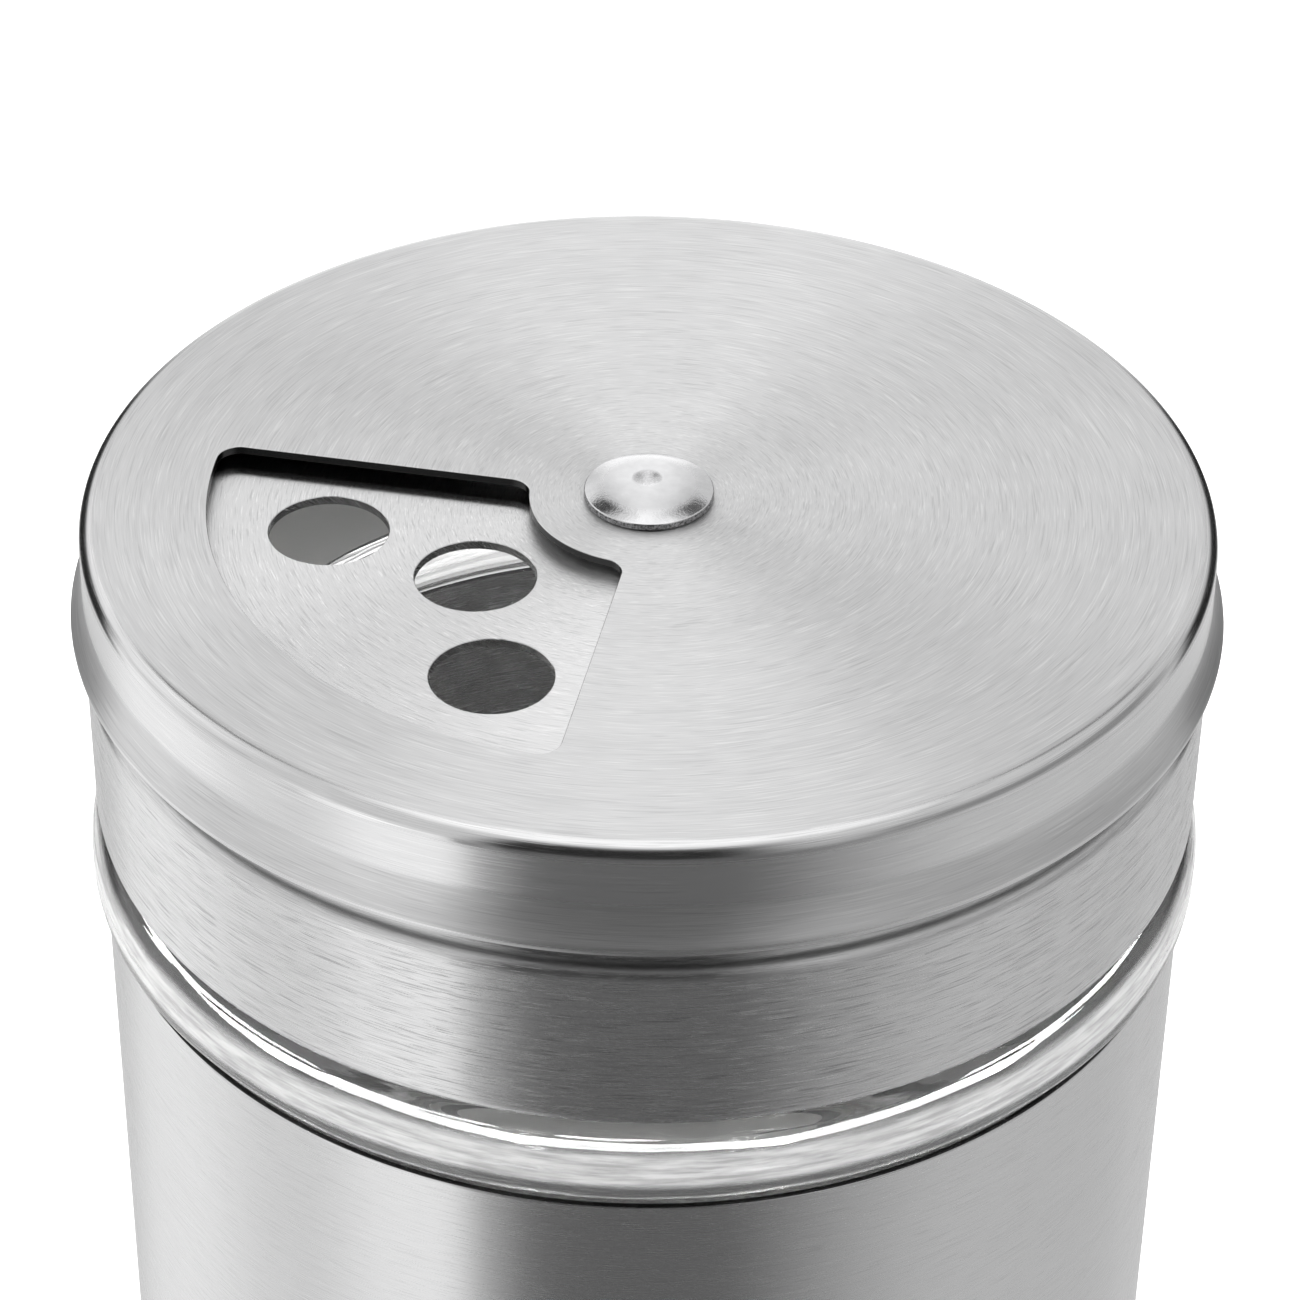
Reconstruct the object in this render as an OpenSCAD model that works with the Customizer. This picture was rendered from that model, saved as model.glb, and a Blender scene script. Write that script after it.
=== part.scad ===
// Glass spice shaker in a steel sleeve, with a screw-on lid whose riveted steel
// cover turns to choose large holes, fine holes, a pouring mouth or shut.
// Millimetres. +Z is up, and the origin is the centre of the foot, on the table.

/* [Steel sleeve] */
// Outer diameter of the sleeve
sleeve_d = 61.8; // [56:0.2:66]
// Height of the sleeve's rim above the table
sleeve_h = 70.2; // [50:0.2:90]
// Thickness of the sleeve's drawn sheet
sleeve_sheet = 0.4; // [0.3:0.05:0.6]
// Outside radius of the corner between wall and foot
foot_corner_r = 2; // [1.2:0.1:2.4]
// Width of the flat ring that stands on the table
foot_ring_w = 1.5; // [1:0.1:2.5]
// Rise of the panel inside the foot ring
foot_panel_rise = 0.8; // [0.5:0.1:1.4]

/* [Cushion disc] */
// Thickness of the silicone disc under the jar
cushion_t = 1.2; // [0.6:0.1:2.5]
// Distance that the disc stays inside the panel's edge
cushion_margin = 0.3; // [0.2:0.1:0.6]

/* [Glass jar] */
// Radial clearance between jar and sleeve
jar_clear = 0.4; // [0.3:0.05:0.8]
// Gap between the jar's bead and the sleeve's rim
rim_gap = 0.5; // [0.25:0.05:0.8]
// Thickness of the jar's wall
jar_wall = 2.6; // [1.8:0.1:3.4]
// Thickness of the glass at the middle of the base
jar_base_t = 3.2; // [2:0.1:6]
// Outside radius of the corner round the jar's base
jar_corner_r = 3; // [2:0.1:4]
// Width of the ring that the jar stands on
jar_ring_w = 2.4; // [1.5:0.1:4]
// Rise of the hollow under the jar's base
jar_pushup = 1.8; // [0.5:0.1:3]
// Amount that the bead stands out past the sleeve
bead_over = 0.65; // [0.4:0.05:1.2]
// Height of the bead, from its underside to the shoulder
bead_h = 4.3; // [3.6:0.1:6]
// Radius of the bead's upper round
bead_top_r = 2.15; // [1.2:0.05:2.4]
// Radius of the bead's lower round
bead_low_r = 1.2; // [0.6:0.05:1.2]
// Distance that the neck is set in from the jar's side
neck_inset = 2.8; // [2.4:0.1:5]
// Radius of the hollow round between neck and shoulder
neck_fillet_r = 1.6; // [0.6:0.1:2]
// Thickness of the neck's wall
neck_wall = 3; // [2:0.1:4]
// Radius of the rounds on the jar's mouth
mouth_round_r = 1.2; // [0.5:0.05:1.3]

/* [Screw thread] */
// Rise of the thread in one turn
thread_lead = 4; // [3.6:0.1:6]
// Height of the glass thread above the neck
thread_h = 1; // [0.7:0.05:1.3]
// Height of the liner's thread above its bore
liner_thread_h = 0.85; // [0.5:0.05:0.9]
// Radial clearance between the glass thread and the liner
thread_clear = 0.3; // [0.25:0.05:0.5]
// Width of both threads at the root
thread_root_w = 1.7; // [1.2:0.05:1.75]
// Width of both threads at the crest
thread_crest_w = 0.9; // [0.5:0.05:1.1]
// Turns of thread on the glass
jar_thread_turns = 1.25; // [0.75:0.25:1.5]
// Turns of thread in the liner
liner_thread_turns = 1; // [0.5:0.25:1.25]
// Drop of the glass thread's upper end below the jar's mouth
thread_drop = 2.1; // [1.6:0.1:4]

/* [Thread liner] */
// Thickness of the liner's wall inside the cap's band
liner_wall = 1.95; // [1.6:0.05:2.6]
// Thickness of the liner's web over the gasket
liner_web_t = 1; // [0.6:0.1:1.6]
// Fit between the liner and the cap round it
liner_fit = 0.05; // [0.03:0.01:0.1]

/* [Seal gasket] */
// Thickness of the gasket
gasket_t = 1.2; // [0.8:0.1:2]
// Clearance between the gasket's rim and the liner's bore
gasket_clear = 0.3; // [0.25:0.05:0.5]
// Distance that the gasket and the web stay outside the jar's mouth
mouth_margin = 0.3; // [0:0.05:0.8]

/* [Sieve cap] */
// Thickness of the cap's sheet
cap_sheet = 0.5; // [0.3:0.05:0.6]
// Height of the cap, from its lower edge to the top of its plate
cap_h = 17.2; // [14.5:0.05:22]
// Gap between the jar's shoulder and the cap's lower edge
cap_gap = 0.85; // [0.6:0.05:2.5]
// Height of the band that shows below the cover
band_h = 9.65; // [7:0.05:10]
// Amount that the cap narrows above the band
cap_step = 0.9; // [0.7:0.05:1.1]
// Height of the rounded shoulder above the band
cap_step_h = 1.2; // [1:0.05:1.6]
// Outside radius of the round at the plate's edge
cap_edge_r = 0.9; // [0.8:0.05:1.2]
// Outside radius of the band's turned-in lower edge
cap_hem_r = 0.7; // [0.65:0.05:1]
// Distance that the hem under the liner stays outside the liner's bore
cap_hem_inset = 0.3; // [0.1:0.05:0.9]

/* [Dispensing holes] */
// Direction of the window's middle, counter-clockwise from +X
rest_dir = 214.4; // [0:0.1:359.9]
// Turn of the large holes ahead of the window's middle
large_ahead = 1; // [0:0.1:3]
// Diameter of the three large holes
large_hole_d = 6.55; // [5.5:0.05:7.5]
// Distance of the inner large hole from the rivet's axis
large_inner_r = 11.3; // [10:0.1:11.7]
// Distance of the two outer large holes from the rivet's axis
large_outer_r = 17.5; // [16.5:0.1:18.5]
// Angle from the middle of the sector to each outer large hole
large_spread = 27.4; // [26:0.1:31]
// Diameter of a fine hole
fine_hole_d = 2; // [1:0.1:2.6]
// Distance between neighbouring rows of fine holes
fine_pitch = 3.8; // [3.2:0.1:4.2]
// Distance of the first row of fine holes from the rivet's axis
fine_first_r = 9.4; // [9:0.1:10]
// Number of rows of fine holes
fine_rows = 4; // [2:1:4]
// Number of fine holes in the first row
fine_first_count = 3; // [2:1:3]
// Inner radius of the pouring mouth
pour_in_r = 8.6; // [8:0.1:11]
// Outer radius of the pouring mouth
pour_out_r = 22; // [18:0.1:22.4]
// Angle that the pouring mouth spans
pour_span = 70; // [40:1:76]
// Corner radius of the pouring mouth
pour_corner_r = 2; // [1:0.1:2.5]

/* [Rotating cover] */
// Thickness of the cover's sheet
cover_sheet = 0.45; // [0.3:0.05:0.6]
// Clearance between the cover's skirt and the cap inside it
cover_clear = 0.35; // [0.3:0.05:0.6]
// Outside radius of the round at the cover's edge
cover_edge_r = 1; // [0.8:0.05:1.4]
// Clearance between the cover's lip and the cap's shoulder
lip_clear = 0.9; // [0.5:0.05:1.2]
// Radius of the rolled lip
lip_r = 0.5; // [0.45:0.01:0.55]
// Radius of the hollow flare above the lip
flare_r = 4.4; // [3.6:0.1:4.8]
// Angle that the flare turns through
flare_angle = 32; // [20:1:34]
// Inner radius of the window
window_in_r = 6.55; // [5.8:0.05:7]
// Outer radius of the window
window_out_r = 24.05; // [23:0.05:25]
// Angle that the window spans
window_span = 90; // [84:1:96]
// Corner radius of the window
window_corner_r = 1.2; // [0.5:0.1:1.8]

/* [Pivot rivet] */
// Diameter of the rivet's head
rivet_head_d = 7.1; // [6:0.1:8]
// Height of the straight edge of the head
rivet_edge_h = 0.45; // [0.3:0.05:0.8]
// Rise of the dome above that edge
rivet_dome_h = 0.5; // [0.3:0.05:0.8]
// Diameter of the shoulder that the cover turns on
rivet_shoulder_d = 4; // [3.6:0.1:4.4]
// Diameter of the tail through the cap's plate
rivet_tail_d = 3.2; // [2.8:0.1:3.4]
// Diameter of the clinched end
rivet_clinch_d = 5.4; // [4.8:0.1:6]
// Thickness of the clinched end
rivet_clinch_t = 0.6; // [0.4:0.05:0.7]
// Diameter of the hollow in the tail
rivet_hollow_d = 1.8; // [1:0.1:2]
// Radial clearance between the shoulder and the cover's bore
running_clear = 0.05; // [0.02:0.01:0.1]
// Radial fit between the tail and what is riveted on it
tail_fit = 0.05; // [0.02:0.01:0.1]

/* [Washers] */
// Thickness of the friction washer, which sets the cover's gap
friction_t = 0.5; // [0.4:0.05:1]
// Outer diameter of the friction washer
friction_d = 10; // [8:0.1:11]
// Thickness of the disc spring
spring_t = 0.3; // [0.2:0.05:0.4]
// Height of the disc spring
spring_h = 0.75; // [0.6:0.05:0.9]
// Outer diameter of the disc spring
spring_d = 8.4; // [7:0.1:9]
// Thickness of the backing washer
backing_t = 0.5; // [0.3:0.05:0.7]
// Outer diameter of the backing washer
backing_d = 7.6; // [6.4:0.1:8.4]

/* [Hidden] */

$fn = 96;
arc_steps = 8;       // segments in a small round
thread_step = 7.5;   // degrees between sections of a thread
thread_fade = 30;    // degrees over which a thread's end runs out
thread_sink = 0.4;   // depth of a thread's root in its wall
past = 1;            // amount that a cutter runs past what it cuts

// Radii, from the sleeve inwards and out again to the cover
sleeve_r = sleeve_d / 2;
sleeve_in_r = sleeve_r - sleeve_sheet;
ring_out_r = sleeve_r - foot_corner_r;
ring_in_r = ring_out_r - foot_ring_w;
panel_r = ring_in_r - foot_panel_rise;
cushion_r = panel_r + foot_panel_rise - cushion_margin;
jar_r = sleeve_in_r - jar_clear;
jar_in_r = jar_r - jar_wall;
jar_ring_r = jar_r - jar_corner_r;
bead_r = sleeve_r + bead_over;
neck_r = jar_r - neck_inset;
mouth_r = neck_r - neck_wall;
jar_crest_r = neck_r + thread_h;
liner_bore_r = jar_crest_r + thread_clear;
liner_crest_r = liner_bore_r - liner_thread_h;
liner_r = liner_bore_r + liner_wall;
web_in_r = mouth_r + mouth_margin;
gasket_r = liner_bore_r - gasket_clear;
band_r = liner_r + liner_fit + cap_sheet;
cap_top_r = band_r - cap_step;
hem_in_r = liner_bore_r + cap_hem_inset;
liner_top_r = liner_r - cap_step;
cover_r = cap_top_r + cover_clear + cover_sheet;

// Heights, from the table up
panel_z = foot_panel_rise + sleeve_sheet;
jar_z = panel_z + cushion_t;
bead_z = sleeve_h + rim_gap;
shoulder_z = bead_z + bead_h;
cap_z = shoulder_z + cap_gap;
band_z = cap_z + band_h;
step_z = band_z + cap_step_h;
plate_z = cap_z + cap_h;
web_z = plate_z - cap_sheet;
gasket_z = web_z - liner_web_t;
mouth_z = gasket_z - gasket_t;
liner_z = cap_z + cap_sheet + liner_fit;
cover_z = plate_z + friction_t;
cover_top_z = cover_z + cover_sheet;
jar_thread_z = mouth_z - thread_drop - thread_lead * jar_thread_turns;
liner_thread_z = jar_thread_z - thread_lead / 2;
spring_z = web_z - spring_h;
backing_z = spring_z - backing_t;
clinch_z = backing_z - rivet_clinch_t;

// Bores on the rivet
cover_bore_r = rivet_shoulder_d / 2 + running_clear;
tail_bore_r = rivet_tail_d / 2 + tail_fit;

// Directions of the four sectors of the plate
large_dir = rest_dir + large_ahead;
fine_dir = rest_dir - 90;
pour_dir = rest_dir + 90;

// Points of an arc round c, from angle a to angle b
function arc(c, r, a, b, steps = arc_steps) =
    [for (i = [0:steps]) let (t = a + (b - a) * i / steps) c + r * [cos(t), sin(t)]];

// Outline of a ring sector with rounded corners, from angle a to angle b
function ring_sector(r_in, r_out, a, b, corner) =
    let (out_turn = asin(corner / (r_out - corner)),
         in_turn = asin(corner / (r_in + corner)),
         out_c = r_out - corner, in_c = r_in + corner)
    concat(
        arc(out_c * [cos(a + out_turn), sin(a + out_turn)], corner, a - 90, a + out_turn, 6),
        arc([0, 0], r_out, a + out_turn + 2, b - out_turn - 2, 24),
        arc(out_c * [cos(b - out_turn), sin(b - out_turn)], corner, b - out_turn, b + 90, 6),
        arc(in_c * [cos(b - in_turn), sin(b - in_turn)], corner, b + 90, b - in_turn + 180, 6),
        arc([0, 0], r_in, b - in_turn - 2, a + in_turn + 2, 24),
        arc(in_c * [cos(a + in_turn), sin(a + in_turn)], corner, a + in_turn + 180, a + 270, 6));

// One four-sided section of a thread at angle t, with its root sunk in the wall
function thread_section(root_r, crest_r, z, t, share) =
    let (s = sign(crest_r - root_r), r = root_r + (crest_r - root_r) * share,
         base = thread_root_w / 2, crest = thread_crest_w / 2)
    [for (p = [[root_r - s * thread_sink, -s * base], [r, -s * crest],
               [r, s * crest], [root_r - s * thread_sink, s * base]])
        [p[0] * cos(t), p[0] * sin(t), z + p[1]]];

// Right-handed helical ridge that starts at height z, over +X, and runs out at both ends
module thread(root_r, crest_r, z, turns) {
    sections = round(turns * 360 / thread_step);
    points = [for (i = [0:sections]) let (t = i * thread_step)
        each thread_section(root_r, crest_r, z + thread_lead * t / 360, t,
                            min(1, t / thread_fade, (turns * 360 - t) / thread_fade))];
    sides = [for (i = [0:sections - 1], j = [0:3]) let (k = (j + 1) % 4)
        each [[4 * i + j, 4 * i + 4 + k, 4 * i + 4 + j], [4 * i + j, 4 * i + k, 4 * i + 4 + k]]];
    last = 4 * sections;
    ends = [[0, 2, 1], [0, 3, 2], [last, last + 1, last + 2], [last, last + 2, last + 3]];
    polyhedron(points, concat(sides, ends));
}

// Ring of rectangular section
module ring(r_in, r_out, z, h) {
    difference() {
        translate([0, 0, z]) cylinder(r = r_out, h = h);
        translate([0, 0, z - past]) cylinder(r = r_in, h = h + 2 * past);
    }
}

// Drawn sleeve: straight wall, rounded foot and raised panel
module steel_sleeve() {
    rim = sleeve_sheet / 2;
    in_corner = foot_corner_r - sleeve_sheet;
    color("silver") rotate_extrude() polygon(concat(
        [[0, foot_panel_rise], [panel_r, foot_panel_rise], [ring_in_r, 0]],
        arc([ring_out_r, foot_corner_r], foot_corner_r, -90, 0),
        arc([sleeve_r - rim, sleeve_h - rim], rim, 0, 180, 6),
        arc([ring_out_r, foot_corner_r], in_corner, 0, -90),
        [[ring_in_r + sleeve_sheet / 2, sleeve_sheet], [panel_r + sleeve_sheet / 2, panel_z],
         [0, panel_z]]));
}

// Soft disc that the jar stands on
module cushion_disc() {
    color("whitesmoke") translate([0, 0, panel_z]) cylinder(r = cushion_r, h = cushion_t);
}

// Jar with a hollow base, straight side, bead, shoulder and threaded neck
module glass_jar() {
    in_z = jar_z + jar_pushup + jar_base_t;
    in_corner = jar_corner_r;
    ring_in = jar_ring_r - jar_ring_w;
    color("lightcyan", 0.4) union() {
        rotate_extrude() polygon(concat(
            [[0, jar_z + jar_pushup], [ring_in - jar_pushup, jar_z + jar_pushup], [ring_in, jar_z]],
            arc([jar_ring_r, jar_z + jar_corner_r], jar_corner_r, -90, 0),
            [[jar_r, bead_z]],
            arc([bead_r - bead_low_r, bead_z + bead_low_r], bead_low_r, -90, 0),
            arc([bead_r - bead_top_r, shoulder_z - bead_top_r], bead_top_r, 0, 90),
            arc([neck_r + neck_fillet_r, shoulder_z + neck_fillet_r], neck_fillet_r, 270, 180),
            arc([neck_r - mouth_round_r, mouth_z - mouth_round_r], mouth_round_r, 0, 90),
            arc([mouth_r + mouth_round_r, mouth_z - mouth_round_r], mouth_round_r, 90, 180),
            [[mouth_r, shoulder_z], [jar_in_r, bead_z]],
            arc([jar_in_r - in_corner, in_z + in_corner], in_corner, 0, -90),
            [[0, in_z]]));
        thread(neck_r, jar_crest_r, jar_thread_z, jar_thread_turns);
    }
}

// Flat seal between the jar's mouth and the liner's web
module seal_gasket() {
    color("ivory") ring(web_in_r, gasket_r, mouth_z, gasket_t);
}

// Moulded insert with the female thread, held in the cap by its hem
module thread_liner() {
    chamfer = cap_edge_r;
    low_chamfer = cap_hem_r - cap_sheet;
    color("white") union() {
        rotate_extrude() polygon([
            [liner_bore_r, liner_z], [liner_r - low_chamfer, liner_z],
            [liner_r, liner_z + low_chamfer], [liner_r, band_z - liner_fit],
            [liner_top_r, band_z - liner_fit], [liner_top_r, web_z - chamfer],
            [liner_top_r - chamfer, web_z], [web_in_r, web_z], [web_in_r, gasket_z],
            [liner_bore_r, gasket_z]]);
        thread(liner_bore_r, liner_crest_r, liner_thread_z, liner_thread_turns);
    }
}

// The three large holes
module large_holes(h) {
    for (place = [[large_inner_r, 0], [large_outer_r, -large_spread], [large_outer_r, large_spread]])
        rotate(large_dir + place[1]) translate([place[0], 0, 0]) cylinder(d = large_hole_d, h = h);
}

// Rows of fine holes, with one hole more in each row
module fine_holes(h) {
    for (row = [0:fine_rows - 1], i = [0:fine_first_count + row - 1]) {
        count = fine_first_count + row;
        r = fine_first_r + row * fine_pitch;
        turn = fine_pitch / r * 180 / PI;
        rotate(fine_dir + (i - (count - 1) / 2) * turn)
            translate([r, 0, 0]) cylinder(d = fine_hole_d, h = h, $fn = 32);
    }
}

// Pressed cap: perforated plate, shoulder, band and turned-in hem
module sieve_cap() {
    // The shoulder is a hollow round that runs into a full round
    step_turn = 2 * atan(cap_step / cap_step_h);
    step_sum = cap_step_h / sin(step_turn);
    low_r = step_sum * 0.6;
    high_r = step_sum - low_r;
    low_c = [band_r - low_r, band_z];
    high_c = [cap_top_r + high_r, step_z];
    edge_c = [cap_top_r - cap_edge_r, plate_z - cap_edge_r];
    hem_c = [band_r - cap_hem_r, cap_z + cap_hem_r];
    color("silver") difference() {
        rotate_extrude() polygon(concat(
            [[tail_bore_r, plate_z]],
            arc(edge_c, cap_edge_r, 90, 0),
            arc(high_c, high_r, 180, 180 + step_turn),
            arc(low_c, low_r, step_turn, 0),
            arc(hem_c, cap_hem_r, 0, -90),
            [[hem_in_r, cap_z], [hem_in_r, cap_z + cap_sheet]],
            arc(hem_c, cap_hem_r - cap_sheet, -90, 0),
            [[band_r - cap_sheet, band_z]],
            arc(high_c, high_r + cap_sheet, 180 + step_turn, 180),
            arc(edge_c, cap_edge_r - cap_sheet, 0, 90),
            [[tail_bore_r, web_z]]));
        translate([0, 0, web_z - past]) {
            large_holes(cap_sheet + 2 * past);
            fine_holes(cap_sheet + 2 * past);
            linear_extrude(cap_sheet + 2 * past) polygon(ring_sector(pour_in_r, pour_out_r,
                pour_dir - pour_span / 2, pour_dir + pour_span / 2, pour_corner_r));
        }
    }
}

// Plastic washer that the cover slides on
module friction_washer() {
    color("dimgray") ring(cover_bore_r, friction_d / 2, plate_z, friction_t);
}

// Conical spring that keeps the rivet tight
module disc_spring() {
    color("gainsboro") rotate_extrude() polygon([
        [tail_bore_r, spring_z], [tail_bore_r, spring_z + spring_t],
        [spring_d / 2, web_z], [spring_d / 2, web_z - spring_t]]);
}

// Flat washer that the rivet's end is clinched on
module backing_washer() {
    color("gainsboro") ring(tail_bore_r, backing_d / 2, backing_z, backing_t);
}

// Shouldered rivet with a domed head and a hollow, clinched end
module pivot_rivet() {
    head_r = rivet_head_d / 2;
    dome_r = (head_r * head_r + rivet_dome_h * rivet_dome_h) / (2 * rivet_dome_h);
    edge_z = cover_top_z + rivet_edge_h;
    dome_turn = asin(head_r / dome_r);
    tail_r = rivet_tail_d / 2;
    clinch_r = rivet_clinch_d / 2;
    clinch_round = rivet_clinch_t / 2;
    color("gainsboro") rotate_extrude() polygon(concat(
        [[0, backing_z], [rivet_hollow_d / 2, backing_z], [rivet_hollow_d / 2 + clinch_round, clinch_z]],
        arc([clinch_r - clinch_round, clinch_z + clinch_round], clinch_round, -90, 90, 6),
        [[tail_r, backing_z], [tail_r, plate_z], [rivet_shoulder_d / 2, plate_z],
         [rivet_shoulder_d / 2, cover_top_z], [head_r, cover_top_z]],
        arc([0, edge_z + rivet_dome_h - dome_r], dome_r, 90 - dome_turn, 90, 10)));
}

// Cover: flat top with a window, rounded edge, flared skirt and rolled lip
module rotating_cover() {
    edge_c = [cover_r - cover_edge_r, cover_top_z - cover_edge_r];
    // The lip's round starts where the flare ends, square to the sheet
    turn = [cos(flare_angle), sin(flare_angle)];
    lip_z = step_z + lip_clear + lip_r;
    flare_c = [cover_r + flare_r, lip_z + (flare_r + lip_r) * turn[1]];
    lip_c = flare_c - (flare_r + lip_r) * turn;
    color("silver") difference() {
        rotate_extrude() polygon(concat(
            [[cover_bore_r, cover_top_z]],
            arc(edge_c, cover_edge_r, 90, 0),
            arc(flare_c, flare_r, 180, 180 + flare_angle),
            arc(lip_c, lip_r, flare_angle, flare_angle - 270, 16),
            arc(flare_c, flare_r + cover_sheet, 174 + flare_angle, 180),
            arc(edge_c, cover_edge_r - cover_sheet, 0, 90),
            [[cover_bore_r, cover_z]]));
        translate([0, 0, cover_z - past]) linear_extrude(cover_sheet + 2 * past)
            polygon(ring_sector(window_in_r, window_out_r, rest_dir - window_span / 2,
                                rest_dir + window_span / 2, window_corner_r));
    }
}

steel_sleeve();
cushion_disc();
glass_jar();
seal_gasket();
thread_liner();
sieve_cap();
friction_washer();
disc_spring();
backing_washer();
pivot_rivet();
rotating_cover();
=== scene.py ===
import math
import bpy
import bmesh
from mathutils import Matrix, Vector


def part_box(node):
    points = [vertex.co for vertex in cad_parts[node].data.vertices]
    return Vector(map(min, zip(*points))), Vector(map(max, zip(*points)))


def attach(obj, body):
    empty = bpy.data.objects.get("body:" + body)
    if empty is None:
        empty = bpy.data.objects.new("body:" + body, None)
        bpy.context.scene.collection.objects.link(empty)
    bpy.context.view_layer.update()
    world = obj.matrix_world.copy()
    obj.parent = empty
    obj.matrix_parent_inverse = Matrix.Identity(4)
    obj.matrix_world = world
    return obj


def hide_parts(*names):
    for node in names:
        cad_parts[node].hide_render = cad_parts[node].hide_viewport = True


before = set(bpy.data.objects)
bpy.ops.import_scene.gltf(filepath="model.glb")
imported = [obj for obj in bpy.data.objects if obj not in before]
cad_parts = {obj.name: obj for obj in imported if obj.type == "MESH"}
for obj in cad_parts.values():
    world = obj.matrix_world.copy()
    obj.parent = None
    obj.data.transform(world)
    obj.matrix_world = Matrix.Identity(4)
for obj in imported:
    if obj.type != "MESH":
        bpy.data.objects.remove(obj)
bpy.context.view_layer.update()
mm = 0.001
turnSteps = 256            # facets round a turned piece, a multiple of 4 so that its box stays centred
fineSteps = 384            # the same for the steel pieces whose long outlines show
wholeTurn = 2 * math.pi
seamGap, weldGap = 0.001, 0.0005       # points nearer than this are one, in a turned and in a cut mesh
holdClose = 0.05           # from a round to the extra ring that keeps the wall beside it flat


# Small helpers

def boxOf(node):
    # lowest and highest corner of a CAD node in millimetres
    low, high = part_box(node)
    return low / mm, high / mm


def linear(hexColour):
    # sRGB hex to the linear colour that the shaders work in
    channels = [int(hexColour[i:i + 2], 16) / 255 for i in (1, 3, 5)]
    return [c / 12.92 if c <= 0.04045 else ((c + 0.055) / 1.055) ** 2.4 for c in channels] + [1.0]


mathNode = "ShaderNodeMath"            # adds, as the vector one does, where no operation is given
vectorNode = "ShaderNodeVectorMath"
noiseNode = "ShaderNodeTexNoise"
rangeNode = "ShaderNodeMapRange"
mixNode = "ShaderNodeMix"
splitNode = "ShaderNodeSeparateXYZ"
joinNode = "ShaderNodeCombineXYZ"
placeNode = "ShaderNodeTexCoord"


def nodeAdder(tree):
    # gives what adds a node to this tree
    def add(kind, *values, **settings):
        # sets what is named, then fills the sockets in order, or by name from a dictionary. A node or socket
        # among the values is linked, and a node stands for its first output
        node = tree.nodes.new(kind)
        for key, value in settings.items():
            setattr(node, key, value)
        pairs = zip([socket for socket in node.inputs if socket.enabled], values)
        if values and isinstance(values[0], dict):
            pairs = [(node.inputs[key], value) for key, value in values[0].items()]
        for socket, value in pairs:
            if isinstance(value, bpy.types.Node):
                value = next(output for output in value.outputs if output.enabled)
            if isinstance(value, bpy.types.NodeSocket):
                tree.links.new(value, socket)
            else:
                socket.default_value = value
        return node
    return add


def newTree(name, inputs):
    # an empty Geometry Nodes tree with these inputs (name: kind of socket), what adds a node, and the inputs
    tree = bpy.data.node_groups.new(name, "GeometryNodeTree")
    for label, kind in {"Geometry": "Geometry", **inputs, "Material": "Material"}.items():
        tree.interface.new_socket(name=label, in_out="INPUT", socket_type="NodeSocket" + kind)
    tree.interface.new_socket(name="Geometry", in_out="OUTPUT", socket_type="NodeSocketGeometry")
    add = nodeAdder(tree)
    return tree, add, add("NodeGroupInput").outputs


def endTree(add, given, geometry):
    # every tree ends in real geometry with its material set
    real = add("GeometryNodeRealizeInstances", {"Geometry": geometry})
    dressed = add("GeometryNodeSetMaterial", {"Geometry": real, "Material": given["Material"]})
    add("NodeGroupOutput", {"Geometry": dressed})


def addTree(piece, tree, values):
    # a Geometry Nodes modifier, with its inputs set by their sockets' identifiers
    modifier = piece.modifiers.new(tree.name, "NODES")
    modifier.node_group = tree
    for item in tree.interface.items_tree:
        if item.in_out == "INPUT" and item.name in values:
            modifier[item.identifier] = values[item.name]


def newObject(name, data):
    thing = bpy.data.objects.new(name, data)
    bpy.context.scene.collection.objects.link(thing)
    return thing


def applyModifiers(piece):
    # makes the modifiers' result the piece's own mesh
    piece.data = bpy.data.meshes.new_from_object(piece.evaluated_get(bpy.context.evaluated_depsgraph_get()))
    piece.modifiers.clear()
    return piece.data


def settle(piece, sharpAngle=30):
    # turns the modifiers' result into a plain closed mesh with outward faces and crisp edges
    result = applyModifiers(piece)
    result.name = piece.name
    shape = bmesh.new()
    shape.from_mesh(result)
    bmesh.ops.remove_doubles(shape, verts=shape.verts, dist=weldGap * mm)
    bmesh.ops.dissolve_degenerate(shape, edges=shape.edges, dist=weldGap * mm)
    bmesh.ops.recalc_face_normals(shape, faces=shape.faces)
    for face in shape.faces:
        face.smooth = True
    shape.to_mesh(result)
    shape.free()
    result.set_sharp_from_angle(angle=math.radians(sharpAngle))
    return piece


def finishPiece(piece, body, slot, node):
    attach(piece, body)
    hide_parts(node)
    print("piece", piece.name, len(piece.data.polygons), "faces")
    return piece


# Outlines, in millimetres, as (radius, height)

def arc(centre, radius, start, end, steps=None):
    # points of an arc, one for about every 9 degrees
    steps = steps or max(2, round(abs(end - start) / 9))
    angles = [math.radians(start + (end - start) * i / steps) for i in range(steps + 1)]
    return [(centre[0] + radius * math.cos(a), centre[1] + radius * math.sin(a)) for a in angles]


def onLine(a, b, distance):
    # the point on the way from a to b at this distance from a
    share = distance / math.dist(a, b)
    return (a[0] + (b[0] - a[0]) * share, a[1] + (b[1] - a[1]) * share)


def rows(a, b, spacing):
    # points between a and b for a stretch that needs many rings, such as a threaded one
    count = max(2, round(math.dist(a, b) / spacing))
    return [onLine(a, b, math.dist(a, b) * i / count) for i in range(1, count)]


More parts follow.
